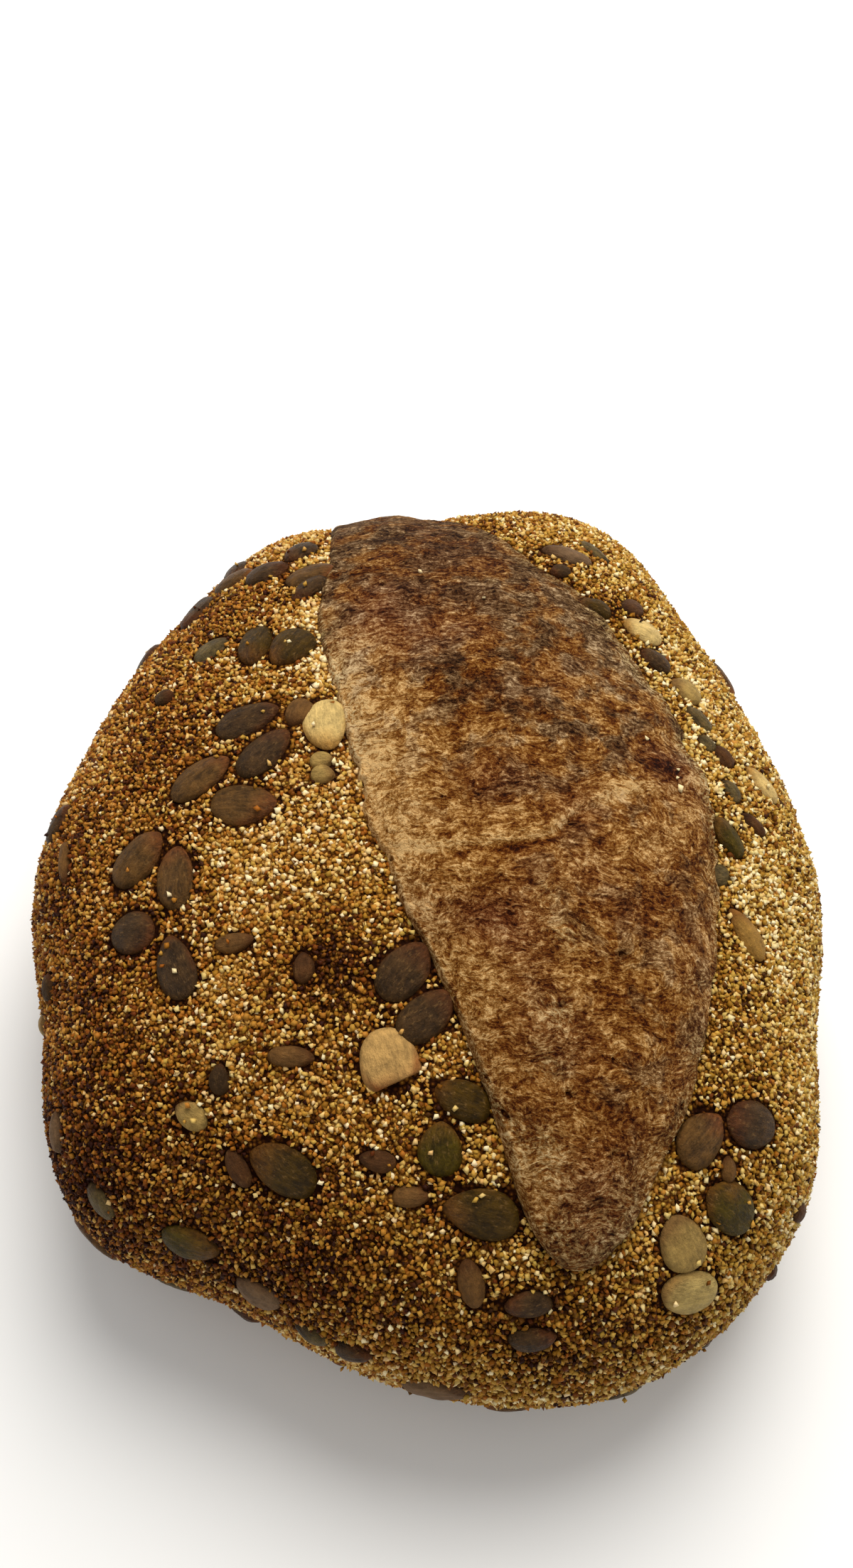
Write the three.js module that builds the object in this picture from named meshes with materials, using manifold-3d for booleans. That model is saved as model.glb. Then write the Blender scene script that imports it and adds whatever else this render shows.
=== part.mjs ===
// A round sourdough loaf with a cornmeal crust, one long burst over its crown,
// and pumpkin, melon and sunflower seeds baked on to it. Millimetres, +Z up.
// The loaf stands on z = 0, its left side towards -X and its front towards -Y.
import * as THREE from 'three';
import { mergeVertices } from 'three/addons/utils/BufferGeometryUtils.js';
import Module from 'manifold-3d';

// The dome. Every place on it is a direction seen from the core, which lies at the widest level.
const CORE = new THREE.Vector3(0, 0, 32);
const CROWN_HEIGHT = 88;
const UPPER_FULLNESS = 2.3; // 2 is an ellipse, more is squarer
const LOWER_REACH = 46; // how far under the core the dome would end without its flat base
const LOWER_FULLNESS = 2.4;
// Plan radii from +X round to the left, one every 22.5 degrees
const PLAN_RADII = [88, 87, 94, 110, 103, 103, 92, 87, 88, 88, 100, 95, 103, 110, 105, 90];
const DOME_AROUND = 64;
const DOME_STEPS = 30;

// The burst: a bare ridge from the back over the crown to the front right.
// Each row is azimuth, rise over the core's level and half spread, in degrees.
const BURST_LINE = [
  [97, 8, 6], [96, 21.5, 9], [93, 33.5, 14.5], [89, 45.5, 21], [79.5, 56, 26], [61.5, 65, 30],
  [31, 70.5, 31.5], [354, 69.5, 32], [326.5, 63, 29], [311, 54, 25.5], [300.5, 43.5, 18.5],
  [292.5, 32.5, 11], [285.5, 20.5, 3.5],
];
const BURST_LIFTS = [0.5, 1, 1.5, 2.5, 3.5, 4.5, 5, 5.5, 6, 6, 6, 5.5, 4]; // at the same places
const BURST_LENGTH = 214; // over the crust
const BURST_ROUNDING = 9; // how far from its ends the ridge reaches its full width
const BURST_DEPTH = 6; // how far the ridge is rooted in the dome
const BURST_EDGE_SINK = 0.6; // the ridge's edges lie this far under the crust
const BURST_AROUND = 16;
const BURST_STEPS = 36;
const FOLD_PLACE = 0.635; // where along the ridge its two lobes meet
const FOLD_SHIFT = 0.03; // how much later they meet on the left, and earlier on the right
const FOLD_TURN = 0.15; // where across the ridge the later part gives way to the earlier one
const FOLD_SLANT = 4; // more is a more sudden change from one to the other
const FOLD_WIDTH = 0.03;
const FOLD_DEPTH = 2;

// Seeds. Each row is azimuth, rise, turn from the level line, length and width.
const PUMPKIN_SEEDS = [
  [185, 55, 78, 14, 9], [191, 37, 120, 14, 9], [199, 42, 165, 14, 8], [205, 34, 55, 11, 9],
  [217, 38, 164, 14, 8], [154, 51, 133, 14, 8], [165, 57, 152, 14, 8], [174, 47, 131, 14, 8],
  [133, 41, 42, 12, 8], [128, 47, 13, 11, 10], [138, 34, 155, 10, 7], [131, 21, 20, 12, 8],
  [121, 18, 60, 11, 7], [123, 22, 137, 12, 7], [119, 28, 152, 11, 7], [113, 34, 173, 12, 7],
  [115, 37, 20, 10, 5], [112, 27, 24, 9, 7], [264, 53, 56, 13, 9], [270, 47, 42, 13, 8],
  [276, 37, 149, 11, 7], [272, 32, 88, 10, 8], [250, 26, 171, 14, 9], [277, 26, 162, 14, 9],
  [229, 11, 139, 9, 6], [241, 12, 8, 12, 8], [281, 17, 179, 9, 5], [281, 13, 1, 9, 5],
  [307, 25, 14, 12, 9], [314, 22, 130, 12, 9], [306, 18, 110, 13, 9], [355, 35, 42, 10, 5],
  [38, 34, 21, 8, 5], [33, 40, 19, 8, 5], [54, 36, 28, 8, 5], [23, 33, 28, 8, 4],
  [17, 34, 23, 5, 4], [6, 33, 38, 6, 4], [346, 36, 116, 6, 5], [62, 25, 164, 10, 4],
  [175, 19, 131, 10, 6], [257, 5, 178, 8, 5], [262, 6, 20, 8, 5],
];
const PALE_SEEDS = [
  [145, 65, 42, 13, 9], [263, 41, 133, 12, 11], [299, 18, 94, 12, 9], [298, 13, 144, 13, 9],
  [250, 8, 161, 10, 8], [45, 32, 40, 10, 7], [30, 32, 36, 8, 6], [10, 25, 47, 10, 5],
  [65, 30, 18, 12, 5], [338, 30, 62, 12, 5], [271, 1, 14, 14, 8], [202, 7, 64, 8, 5],
  [235, 27, 177, 7, 5], [219, 12, 127, 9, 4], [173, 69, 93, 5, 4], [164, 68, 102, 5, 4],
];
const SUNFLOWER_SEEDS = [
  [222, 46, 54, 8, 4], [239, 49, 120, 6, 4], [245, 38, 20, 9, 4], [244, 24, 141, 8, 4],
  [236, 32, 120, 6, 4], [184, 23, 3, 10, 3], [200, 14, 150, 6, 5], [145, 59, 12, 7, 6],
  [152, 33, 121, 5, 4], [263, 30, 178, 7, 4], [268, 27, 4, 7, 4], [275, 19, 96, 10, 5],
  [308, 21, 55, 5, 3], [315, 7, 119, 6, 4], [310, 1, 109, 7, 4], [50, 30, 72, 7, 5],
  [64, 34, 44, 5, 4], [14, 32, 30, 6, 4], [0, 30, 62, 7, 3],
];
const SEED_SIDES = 6;
const SEED_STEPS = 4;
const SEED_TAPER = 0.22; // how much narrower the pointed end is than the round end
const SEED_SINK = 0.6; // how far a seed's middle lies under the crust
const THICKNESS = { pumpkin: 4, pale: 3.8, sunflower: 3.4 };

// Seeds on the low back and sides follow a rule with a fixed random start
const SCATTER_START = 20;
const SCATTER_COUNT = 26;
const SCATTER_LOWEST = -10; // degrees of rise
const SCATTER_SIDE_TOP = -3;
const SCATTER_BACK_TOP = 24;
const SCATTER_CLEARANCE = 15; // between two seeds' middles
const SCATTER_LENGTHS = [9, 14];
const SCATTER_SLIMNESS = [0.5, 0.66]; // width over length

const degrees = THREE.MathUtils.degToRad;

// The value at a place t from 0 to 1 along evenly spaced values, on a smooth curve through them
function smooth(values, t, closed = false) {
  const spans = closed ? values.length : values.length - 1;
  const place = closed ? (t - Math.floor(t)) * spans : t * spans;
  const first = Math.min(Math.floor(place), spans - 1);
  const s = place - first;
  const value = (offset) => {
    const index = first + offset;
    const last = values.length - 1;
    const kept = Math.min(Math.max(index, 0), last);
    return values[closed ? (index + values.length) % values.length : kept];
  };
  const [a, b, c, d] = [value(-1), value(0), value(1), value(2)];
  const curve = (2 * a - 5 * b + 4 * c - d) * s * s + (3 * b - a - 3 * c + d) * s * s * s;
  return b + ((c - a) * s + curve) / 2;
}

function direction(azimuth, rise) {
  const level = Math.cos(degrees(rise));
  const [x, y] = [Math.cos(degrees(azimuth)), Math.sin(degrees(azimuth))];
  return new THREE.Vector3(level * x, level * y, Math.sin(degrees(rise)));
}

// How far the dome's surface lies from the core along a unit direction
function reach(d) {
  const turn = Math.atan2(d.y, d.x) / (2 * Math.PI);
  const planRadius = smooth(PLAN_RADII, turn, true);
  const level = Math.hypot(d.x, d.y) / planRadius;
  if (d.z >= 0) {
    const crown = d.z / (CROWN_HEIGHT - CORE.z);
    return (level ** UPPER_FULLNESS + crown ** UPPER_FULLNESS) ** (-1 / UPPER_FULLNESS);
  }
  const under = -d.z / LOWER_REACH;
  const round = (level ** LOWER_FULLNESS + under ** LOWER_FULLNESS) ** (-1 / LOWER_FULLNESS);
  return Math.min(round, CORE.z / -d.z);
}

function domePoint(d, lift = 0) {
  const unit = d.clone().normalize();
  return unit.multiplyScalar(reach(unit) + lift).add(CORE);
}

// The outward normal of the dome at a direction
function domeNormal(d) {
  const step = 0.01;
  const east = new THREE.Vector3(-d.y, d.x, 0).normalize();
  const north = new THREE.Vector3().crossVectors(d, east);
  const slope = (axis) => domePoint(d.clone().addScaledVector(axis, step))
    .sub(domePoint(d.clone().addScaledVector(axis, -step)));
  return new THREE.Vector3().crossVectors(slope(east), slope(north)).normalize();
}

// Moves every vertex of a sphere, then turns the sphere into a solid for joining
function solid(geometry, move, library) {
  geometry.deleteAttribute('normal');
  geometry.deleteAttribute('uv');
  const merged = mergeVertices(geometry, 1e-4);
  const position = merged.getAttribute('position');
  const point = new THREE.Vector3();
  for (let i = 0; i < position.count; i += 1) {
    point.fromBufferAttribute(position, i);
    position.setXYZ(i, ...move(point).toArray());
  }
  const mesh = new library.Mesh({
    numProp: 3,
    vertProperties: new Float32Array(position.array),
    triVerts: new Uint32Array(merged.getIndex().array),
  });
  return new library.Manifold(mesh);
}

function dome(library) {
  const sphere = new THREE.SphereGeometry(1, DOME_AROUND, DOME_STEPS);
  sphere.rotateX(Math.PI / 2);
  return solid(sphere, (point) => domePoint(point), library);
}

// The share of its full width and height that the ridge has at a place along it
function endRounding(along) {
  const inward = Math.min(along, 1 - along) * BURST_LENGTH / BURST_ROUNDING;
  return Math.sqrt(1 - (1 - Math.min(inward, 1)) ** 2);
}

// The ridge's height over the dome, along it from 0 to 1 and across it from -1 to 1
function burstLift(along, across) {
  const rounding = endRounding(along) * Math.sqrt(Math.max(0, 1 - across * across));
  const crest = smooth(BURST_LIFTS, along) * rounding;
  const place = FOLD_PLACE - FOLD_SHIFT * Math.tanh(FOLD_SLANT * (across - FOLD_TURN));
  const fold = (along - place) / FOLD_WIDTH;
  return crest - FOLD_DEPTH * Math.exp(-fold * fold) * (1 - across * across);
}

function burst(library) {
  const line = new THREE.CatmullRomCurve3(BURST_LINE.map(([azimuth, rise]) => direction(azimuth, rise)));
  const spreads = BURST_LINE.map((row) => row[2]);
  const sphere = new THREE.SphereGeometry(1, BURST_AROUND, BURST_STEPS);
  return solid(sphere, (point) => {
    const along = Math.acos(THREE.MathUtils.clamp(point.y, -1, 1)) / Math.PI;
    const ring = Math.max(Math.hypot(point.x, point.z), 1e-6);
    const across = point.x / ring;
    const middle = line.getPoint(along).normalize();
    const side = new THREE.Vector3().crossVectors(middle, line.getTangent(along)).normalize();
    const spread = degrees(smooth(spreads, along)) * endRounding(along) * across;
    const d = middle.multiplyScalar(Math.cos(spread)).addScaledVector(side, Math.sin(spread));
    const lift = point.z > 0 ? burstLift(along, across) : BURST_DEPTH * point.z;
    return domePoint(d, lift - BURST_EDGE_SINK);
  }, library);
}

function seed([azimuth, rise, turn, length, width], thickness, library) {
  const d = direction(azimuth, rise);
  const normal = domeNormal(d);
  const level = new THREE.Vector3(-d.y, d.x, 0).normalize();
  const up = new THREE.Vector3().crossVectors(normal, level).normalize();
  level.crossVectors(up, normal);
  const long = level.multiplyScalar(Math.cos(degrees(turn))).addScaledVector(up, Math.sin(degrees(turn)));
  const wide = new THREE.Vector3().crossVectors(long, normal);
  const middle = domePoint(d).addScaledVector(normal, -SEED_SINK);
  const place = new THREE.Matrix4().makeBasis(wide, long, normal).setPosition(middle);
  const sphere = new THREE.SphereGeometry(1, SEED_SIDES, SEED_STEPS);
  return solid(sphere, (point) => {
    const narrowing = 1 - SEED_TAPER * point.y;
    const x = point.x * narrowing * width / 2;
    const z = point.z * narrowing * thickness / 2;
    return new THREE.Vector3(x, point.y * length / 2, z).applyMatrix4(place);
  }, library);
}

// A repeatable stream of draws between two values
function draws(start) {
  const modulus = 2 ** 32;
  let state = start;
  return (low, high) => {
    state = (state * 1664525 + 1013904223) % modulus;
    return low + (high - low) * state / modulus;
  };
}

function scatteredSeeds(taken) {
  const draw = draws(SCATTER_START);
  const middles = taken.map(([azimuth, rise]) => domePoint(direction(azimuth, rise)));
  const rows = [];
  while (rows.length < SCATTER_COUNT) {
    const azimuth = draw(0, 360);
    const backness = Math.max(0, Math.sin(degrees(azimuth)));
    const top = SCATTER_SIDE_TOP + (SCATTER_BACK_TOP - SCATTER_SIDE_TOP) * backness;
    const rise = draw(SCATTER_LOWEST, top);
    const turn = draw(0, 180);
    const length = draw(...SCATTER_LENGTHS);
    const width = length * draw(...SCATTER_SLIMNESS);
    const middle = domePoint(direction(azimuth, rise));
    if (middles.every((other) => other.distanceTo(middle) > SCATTER_CLEARANCE)) {
      middles.push(middle);
      rows.push([azimuth, rise, turn, length, width]);
    }
  }
  return rows;
}

function loaf(library) {
  const seen = [...PUMPKIN_SEEDS, ...PALE_SEEDS, ...SUNFLOWER_SEEDS];
  const solids = [
    dome(library),
    burst(library),
    ...PUMPKIN_SEEDS.map((row) => seed(row, THICKNESS.pumpkin, library)),
    ...PALE_SEEDS.map((row) => seed(row, THICKNESS.pale, library)),
    ...SUNFLOWER_SEEDS.map((row) => seed(row, THICKNESS.sunflower, library)),
    ...scatteredSeeds(seen).map((row) => seed(row, THICKNESS.pumpkin, library)),
  ];
  const joined = library.Manifold.union(solids).getMesh();
  const geometry = new THREE.BufferGeometry();
  geometry.setAttribute('position', new THREE.BufferAttribute(joined.vertProperties, 3));
  geometry.setIndex(new THREE.BufferAttribute(joined.triVerts, 1));
  geometry.computeVertexNormals();
  return geometry;
}

const library = await Module();
library.setup();

const crust = new THREE.MeshStandardMaterial({ color: 0xc08a3a, roughness: 0.9, metalness: 0 });
const bread = new THREE.Mesh(loaf(library), crust);
bread.name = 'loaf';

const group = new THREE.Group();
group.add(bread);

export default group;
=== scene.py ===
"""A round sourdough loaf: cornmeal crust, bare burst over the crown, baked-on seeds.

Shapes are worked out in millimetres and become metres when a mesh is made.
A place on the loaf is a direction seen from its core: azimuth from +X round to
the left, and rise over the core's level, both in degrees.
"""
from itertools import product

import bpy
import numpy as np
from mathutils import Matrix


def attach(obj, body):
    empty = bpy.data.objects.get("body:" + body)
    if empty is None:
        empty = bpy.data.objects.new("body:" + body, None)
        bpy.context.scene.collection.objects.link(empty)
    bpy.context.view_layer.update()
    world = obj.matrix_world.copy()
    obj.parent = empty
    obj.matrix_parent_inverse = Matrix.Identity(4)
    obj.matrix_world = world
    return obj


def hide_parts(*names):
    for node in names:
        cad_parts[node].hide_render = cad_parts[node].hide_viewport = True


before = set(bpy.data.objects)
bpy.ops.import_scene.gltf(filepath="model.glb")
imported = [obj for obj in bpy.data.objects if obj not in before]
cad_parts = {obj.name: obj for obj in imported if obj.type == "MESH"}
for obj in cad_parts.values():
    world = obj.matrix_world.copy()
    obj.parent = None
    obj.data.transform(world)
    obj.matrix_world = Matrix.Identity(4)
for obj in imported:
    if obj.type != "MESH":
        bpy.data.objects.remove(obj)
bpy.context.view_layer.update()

MM = 0.001
DRAWS_START = 7  # of the random draws for the grains

# The dome, as in the solid
CORE = np.array([0.0, 0.0, 32.0])
CROWN_HEIGHT = 88
UPPER_FULLNESS = 2.3
LOWER_REACH = 46
LOWER_FULLNESS = 2.4
PLAN_RADII = [88, 87, 94, 110, 103, 103, 92, 87, 88, 88, 100, 95, 103, 110, 105, 90]
CRUST_SINK = 0.6  # the bare crust lies this far under its coat of grains
BASE_LIFT = 0.7  # the crust under the loaf stands on its grains
BASE_ROUNDING = 14  # lower is a rounder edge round the base
RELIEF_RADIUS = 85  # the size of the ball that the crust's dents are drawn on
CRUST_AROUND = 210
CRUST_RINGS = 105

# The burst, as in the solid: azimuth, rise and half spread in degrees, and lift in mm
BURST_LINE = [
    (97, 8, 6), (96, 21.5, 9), (93, 33.5, 14.5), (89, 45.5, 21), (79.5, 56, 26), (61.5, 65, 30),
    (31, 70.5, 31.5), (354, 69.5, 32), (326.5, 63, 29), (311, 54, 25.5), (300.5, 43.5, 18.5),
    (292.5, 32.5, 11), (285.5, 20.5, 3.5),
]
BURST_LIFTS = [0.5, 1, 1.5, 2.5, 3.5, 4.5, 5, 5.5, 6, 6, 6, 5.5, 4]
BURST_LENGTH = 214
BURST_ROUNDING = 9  # the ends are rounded over this length
DOME_SCALE = 75  # mm on the crust for one radian, near enough for the burst's textures
BURST_OVERLAP = 1.02  # the burst reaches this share over its edge
BURST_EDGE_SINK = 1.5
BURST_ROOT = 4  # how far the piece goes on down inside the loaf
BURST_RINGS = 400
BURST_ACROSS = 196
BURST_BATCH = 4000  # directions that are compared with the whole middle line at once
FOLD_PLACE = 0.635  # along the burst
FOLD_SHIFT = 0.03  # how much farther back it runs on the right, and forward on the left
FOLD_TURN = 0.15  # the place across where it turns
FOLD_WIDTH = 1.8
FOLD_DEPTH = 0.9
STROKE_RELIEF = 0.3
RIM_RELIEF = 0.45
GROOVE_DEPTH = 0.9  # of the crust along the burst's edge
UNDER_BURST = 2.4  # how far the crust is drawn in under the burst

# Marks on the burst: place along, place across, spread in mm, and how strong
BURST_TONES = [
    (0.22, 0.02, 17, -0.08), (0.16, 0.29, 16, -0.05), (0.41, -0.27, 8, -0.2),
    (0.57, -0.25, 7, -0.2), (0.58, 0.71, 5, -0.32), (0.73, 0.35, 5, -0.26), (0.88, 0.22, 7, -0.08),
    (0.39, 0.57, 8, -0.05), (0.72, -0.46, 6, -0.18), (0.96, 0.18, 6, -0.06), (0.61, 0.14, 8, -0.06),
    (0.47, -0.85, 9, 0.2), (0.41, -0.62, 9, 0.15), (0.29, -0.62, 10, 0.14), (0.61, -0.69, 9, 0.1),
    (0.51, -0.4, 8, 0.08), (0.66, -0.32, 5, 0.12), (0.6, 0.36, 5, 0.14), (0.56, 0.91, 6, 0.15),
    (0.94, -0.63, 5, 0.12), (0.85, -0.1, 8, 0.08), (0.47, 0.35, 10, 0.1), (0.45, 0.8, 8, 0.12),
    (0.72, -0.15, 7, 0.14), (0.71, 0.16, 6, 0.14), (0.67, 0.45, 6, 0.16), (0.64, 0.7, 6, 0.2),
    (0.61, 0.91, 6, 0.15), (0.94, 0.35, 6, 0.06), (0.96, -0.1, 6, -0.06), (0.35, 0.64, 7, 0.12),
    (0.27, -0.8, 8, 0.14), (0.93, -0.5, 4, 0.1), (0.95, 0.5, 5, 0.1), (0.34, -0.8, 8, 0.06),
    (0.23, 0.42, 8, 0.08), (0.49, 0.28, 5, -0.2), (0.41, -0.87, 6, -0.1), (0.47, -0.08, 6, -0.18),
]
BURST_REDS = [
    (0.58, 0.71, 6, 0.7), (0.61, 0.14, 7, 0.3), (0.7, 0.12, 6, 0.3), (0.75, -0.49, 7, 0.6),
    (0.32, -0.02, 12, 0.3), (0.85, -0.23, 7, 0.4), (0.57, -0.25, 8, 0.5), (0.97, 0.22, 6, 0.3),
    (0.26, -0.45, 11, 0.5), (0.2, 0.4, 9, 0.3), (0.33, -0.35, 9, 0.3), (0.94, 0.05, 5, 0.4),
]
BURST_FLOUR = [
    (0.3, -0.97, 5, 0.7), (0.37, -0.95, 5, 0.7), (0.43, -0.97, 5, 0.6), (0.36, 0.9, 5, 0.5),
    (0.42, 0.9, 4, 0.5), (0.76, -0.07, 4, 0.5), (0.83, -0.22, 4, 0.5), (0.87, -0.33, 3, 0.5),
    (0.9, 0.91, 6, 0.5), (0.92, -1, 4, 0.3), (0.98, -1, 4, 0.3), (0.97, 1, 5, 0.4),
    (0.99, 0.59, 4, 0.4), (0.8, 0.75, 3, 0.4), (0.85, 0.83, 3, 0.4), (0.72, -0.13, 3, 0.4),
    (0.93, -0.5, 4, 0.6), (0.95, 0.45, 5, 0.5), (0.97, -0.3, 3, 0.5), (0.25, -0.95, 5, 0.5),
]
BURST_PITS = [
    (0.78, 0.24, 0.8, 1.4), (0.92, -0.85, 0.6, 1.2), (0.9, -0.91, 0.4, 0.9), (0.89, -0.2, 0.5, 1),
    (0.89, 0.83, 0.4, 0.8), (0.66, -0.97, 0.6, 1.1), (0.97, -0.55, 0.4, 0.8), (0.64, 0.09, 0.4, 0.7),
    (0.38, -0.46, 0.4, 0.6), (0.43, -0.66, 0.4, 0.6), (0.75, 0.02, 0.4, 0.6), (0.97, 0.78, 0.3, 0.6),
]
PORE_COUNT = 30
PORE_START = 3  # of the random draws for the pores
PORE_RANGES = ((0.12, -0.9, 0.25, 0.3), (0.95, 0.9, 0.5, 0.7))  # lowest and highest, as for marks
STRAY_GRAINS = [(0.22, -0.02), (0.54, 0.7), (0.58, 0.76), (0.59, 0.73), (0.6, 0.75), (0.3, 0.27)]

# Colours of the bare crust from dark to pale: place between 0 and 1, and screen colour
BROWN_CRUST = [
    (0.02, (22, 8, 1)), (0.15, (40, 19, 4)), (0.35, (73, 46, 22)), (0.5, (95, 68, 39)),
    (0.65, (120, 91, 60)), (0.85, (164, 135, 98)), (1, (200, 170, 130)),
]
AMBER_CRUST = [
    (0.02, (34, 8, 1)), (0.15, (60, 21, 1)), (0.35, (94, 47, 8)), (0.5, (120, 73, 23)),
    (0.65, (146, 100, 46)), (0.85, (186, 140, 82)), (1, (216, 174, 114)),
]
RED_CRUST = [
    (0.02, (26, 5, 1)), (0.15, (46, 13, 2)), (0.35, (80, 37, 14)), (0.5, (104, 57, 29)),
    (0.65, (126, 82, 50)), (0.85, (164, 124, 86)), (1, (196, 160, 120)),
]
FLOURY_CRUST = [
    (0.1, (60, 40, 18)), (0.4, (108, 83, 47)), (0.65, (153, 126, 80)), (0.9, (206, 180, 132)),
]
MEALY_CRUST = [
    (0.0, (30, 9, 1)), (0.2, (62, 30, 5)), (0.4, (112, 68, 18)), (0.6, (164, 116, 44)),
    (0.85, (214, 172, 100)),
]

# Seeds, as in the solid: azimuth, rise, turn from the level line, length, width and look
PUMPKIN_SEEDS = [
    (185, 55, 78, 14, 9, "brown"), (191, 37, 120, 14, 9, "brown"), (199, 42, 165, 14, 8, "brown"),
    (205, 34, 55, 11, 9, "dark"), (217, 38, 164, 14, 8, "dark"), (154, 51, 133, 14, 8, "dark"),
    (165, 57, 152, 14, 8, "dark"), (174, 47, 131, 14, 8, "brown"), (133, 41, 42, 12, 8, "olive"),
    (128, 47, 13, 11, 10, "olive"), (138, 34, 155, 10, 7, "grey"), (131, 21, 20, 12, 8, "dark"),
    (121, 18, 60, 11, 7, "dark"), (123, 22, 137, 12, 7, "brown"), (119, 28, 152, 11, 7, "dark"),
    (113, 34, 173, 12, 7, "brown"), (115, 37, 20, 10, 5, "dark"), (112, 27, 24, 9, 7, "dark"),
    (264, 53, 56, 13, 9, "dark"), (270, 47, 42, 13, 8, "dark"), (276, 37, 149, 11, 7, "olive"),
    (272, 32, 88, 10, 8, "green"), (250, 26, 171, 14, 9, "olive"), (277, 26, 162, 14, 9, "olive"),
    (229, 11, 139, 9, 6, "grey"), (241, 12, 8, 12, 8, "green"), (281, 17, 179, 9, 5, "dark"),
    (281, 13, 1, 9, 5, "dark"), (307, 25, 14, 12, 9, "brown"), (314, 22, 130, 12, 9, "dark"),
    (306, 18, 110, 13, 9, "green"), (355, 35, 42, 10, 5, "green"), (38, 34, 21, 8, 5, "dark"),
    (33, 40, 19, 8, 5, "grey"), (54, 36, 28, 8, 5, "olive"), (23, 33, 28, 8, 4, "grey"),
    (17, 34, 23, 5, 4, "grey"), (6, 33, 38, 6, 4, "grey"), (346, 36, 116, 6, 5, "grey"),
    (62, 25, 164, 10, 4, "grey"), (175, 19, 131, 10, 6, "dark"), (257, 5, 178, 8, 5, "grey"),
    (262, 6, 20, 8, 5, "dark"),
]
PALE_SEEDS = [
    (145, 65, 42, 13, 9, "cream"), (263, 41, 293, 12, 11, "husk"), (299, 18, 94, 12, 9, "beige"),
    (298, 13, 144, 13, 9, "straw"), (250, 8, 161, 10, 8, "pink"), (45, 32, 40, 10, 7, "cream"),
    (30, 32, 36, 8, 6, "beige"), (10, 25, 47, 10, 5, "cream"), (65, 30, 18, 12, 5, "pink"),
    (338, 30, 62, 12, 5, "peach"), (271, 1, 14, 14, 8, "pink"), (202, 7, 64, 8, 5, "beige"),
    (235, 27, 177, 7, 5, "beige"), (219, 12, 127, 9, 4, "pink"), (173, 69, 93, 5, 4, "beige"),
    (164, 68, 102, 5, 4, "beige"),
]
SUNFLOWER_SEEDS = [
    (222, 46, 54, 8, 4, "tan"), (239, 49, 120, 6, 4, "red"), (245, 38, 20, 9, 4, "tan"),
    (244, 24, 141, 8, 4, "red"), (236, 32, 120, 6, 4, "dark"), (184, 23, 3, 10, 3, "tan"),
    (200, 14, 150, 6, 5, "dark"), (145, 59, 12, 7, 6, "tan"), (152, 33, 121, 5, 4, "dark"),
    (263, 30, 178, 7, 4, "red"), (268, 27, 4, 7, 4, "tan"), (275, 19, 96, 10, 5, "tan"),
    (308, 21, 55, 5, 3, "tan"), (315, 7, 119, 6, 4, "red"), (310, 1, 109, 7, 4, "dark"),
    (50, 30, 72, 7, 5, "red"), (64, 34, 44, 5, 4, "dark"), (14, 32, 30, 6, 4, "red"),
    (0, 30, 62, 7, 3, "red"),
]
SEED_SINK = 0.6  # the middle of a seed lies this far under the dome
SUNK = {"grey": 0.7}  # how much deeper seeds of some looks lie
THICKNESS = {"pumpkin": 4.0, "pale": 3.8, "sunflower": 3.4}
SEED_AROUND = 30
SEED_RINGS = 8
SEED_FLATNESS = (2.6, 0.62)  # powers of a seed's profile from its middle to its rim
SEED_RIM = (0.07, 0.84, 0.07)  # height, place and width of the bead round a seed, as shares
# The least and the most taper, point, bend and plumpness of a seed
SEED_VARIETY = ((0.04, 0.04, -0.12, 0.88), (0.2, 0.3, 0.12, 1.12))
NOISE_SHIFT = 31  # from the relief and colours of one seed to those of the next
TEXTURE_SHIFT = 23  # from the streaks of one seed to those of the next
HALVED = "husk"  # the look of a seed that is broken straight across
HALF_SQUARENESS = 0.8  # lower is squarer
HALF_CUT = 0.7  # how far along its half length the broken seed is cut

# The colour of a seed and of its pointed end
LOOKS = {
    "brown": ((86, 58, 24), (98, 56, 24)), "dark": ((62, 42, 20), (76, 42, 18)),
    "olive": ((60, 41, 3), (88, 54, 16)), "grey": ((88, 72, 40), (66, 48, 24)),
    "green": ((65, 51, 4), (90, 58, 16)), "cream": ((204, 172, 106), (170, 126, 62)),
    "husk": ((182, 142, 82), (146, 88, 42)), "beige": ((156, 126, 68), (120, 88, 46)),
    "pink": ((112, 85, 58), (92, 64, 40)), "peach": ((152, 112, 50), (122, 78, 30)),
    "tan": ((102, 69, 32), (80, 48, 20)), "red": ((78, 47, 20), (60, 34, 14)),
    "straw": ((170, 144, 84), (138, 104, 54)),
}
WORN_SPOTS = (150, 112, 64)  # where the skin of a seed is rubbed

# Seeds on the low back and sides, by the same rule as in the solid
SCATTER_START = 20  # of the draws
SCATTER_COUNT = 26
SCATTER_LOWEST = -10
SCATTER_SIDE_TOP = -3
SCATTER_BACK_TOP = 24
SCATTER_CLEARANCE = 15
SCATTER_LENGTHS = (9, 14)
SCATTER_SLIMNESS = (0.5, 0.66)

# Cornmeal
GRAIN_CELL = 0.94  # one grain in each cell of this size that the crust passes through
GRAIN_TRIES = 900000
GRAIN_CELLS_ACROSS = 1000  # more cells than the loaf takes up
GRAIN_SIZES = (0.44, 0.84)  # from a grain's middle to its corners
GRAIN_STRETCH = ((0.9, 0.75, 0.6), (1.2, 1.05, 0.95))  # the least and the most, on three axes
GRAIN_UNEVENNESS = 0.3  # how far a corner is moved, as a share of the size
GRAIN_RISE = 0.6  # a grain's middle lies up to this share of its size over the crust
GRAIN_CLASSES = ("cream", "yellow", "gold", "ochre", "brown")
GRAIN_TONE_SPREAD = 0.22
GRAIN_HUE_SPREAD = 0.45
PALE_GRAINS = 0.07  # the share of grains that are much paler than those around them
PALER_BY = 0.3
STRAY_TONE = 0.95
COAT_GAP = 0.3  # the coat starts this far outside the burst,
COAT_WANDER = 0.9  # farther or nearer by up to this
GRAINS_ON_SEEDS = 0.012
SEED_GAP = 1.1  # grains start at this share of the way from a seed's middle to its rim
GAP_WANDER = 0.3  # mm
ON_SEED = 0.93  # grains within this share lie on the seed
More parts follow.
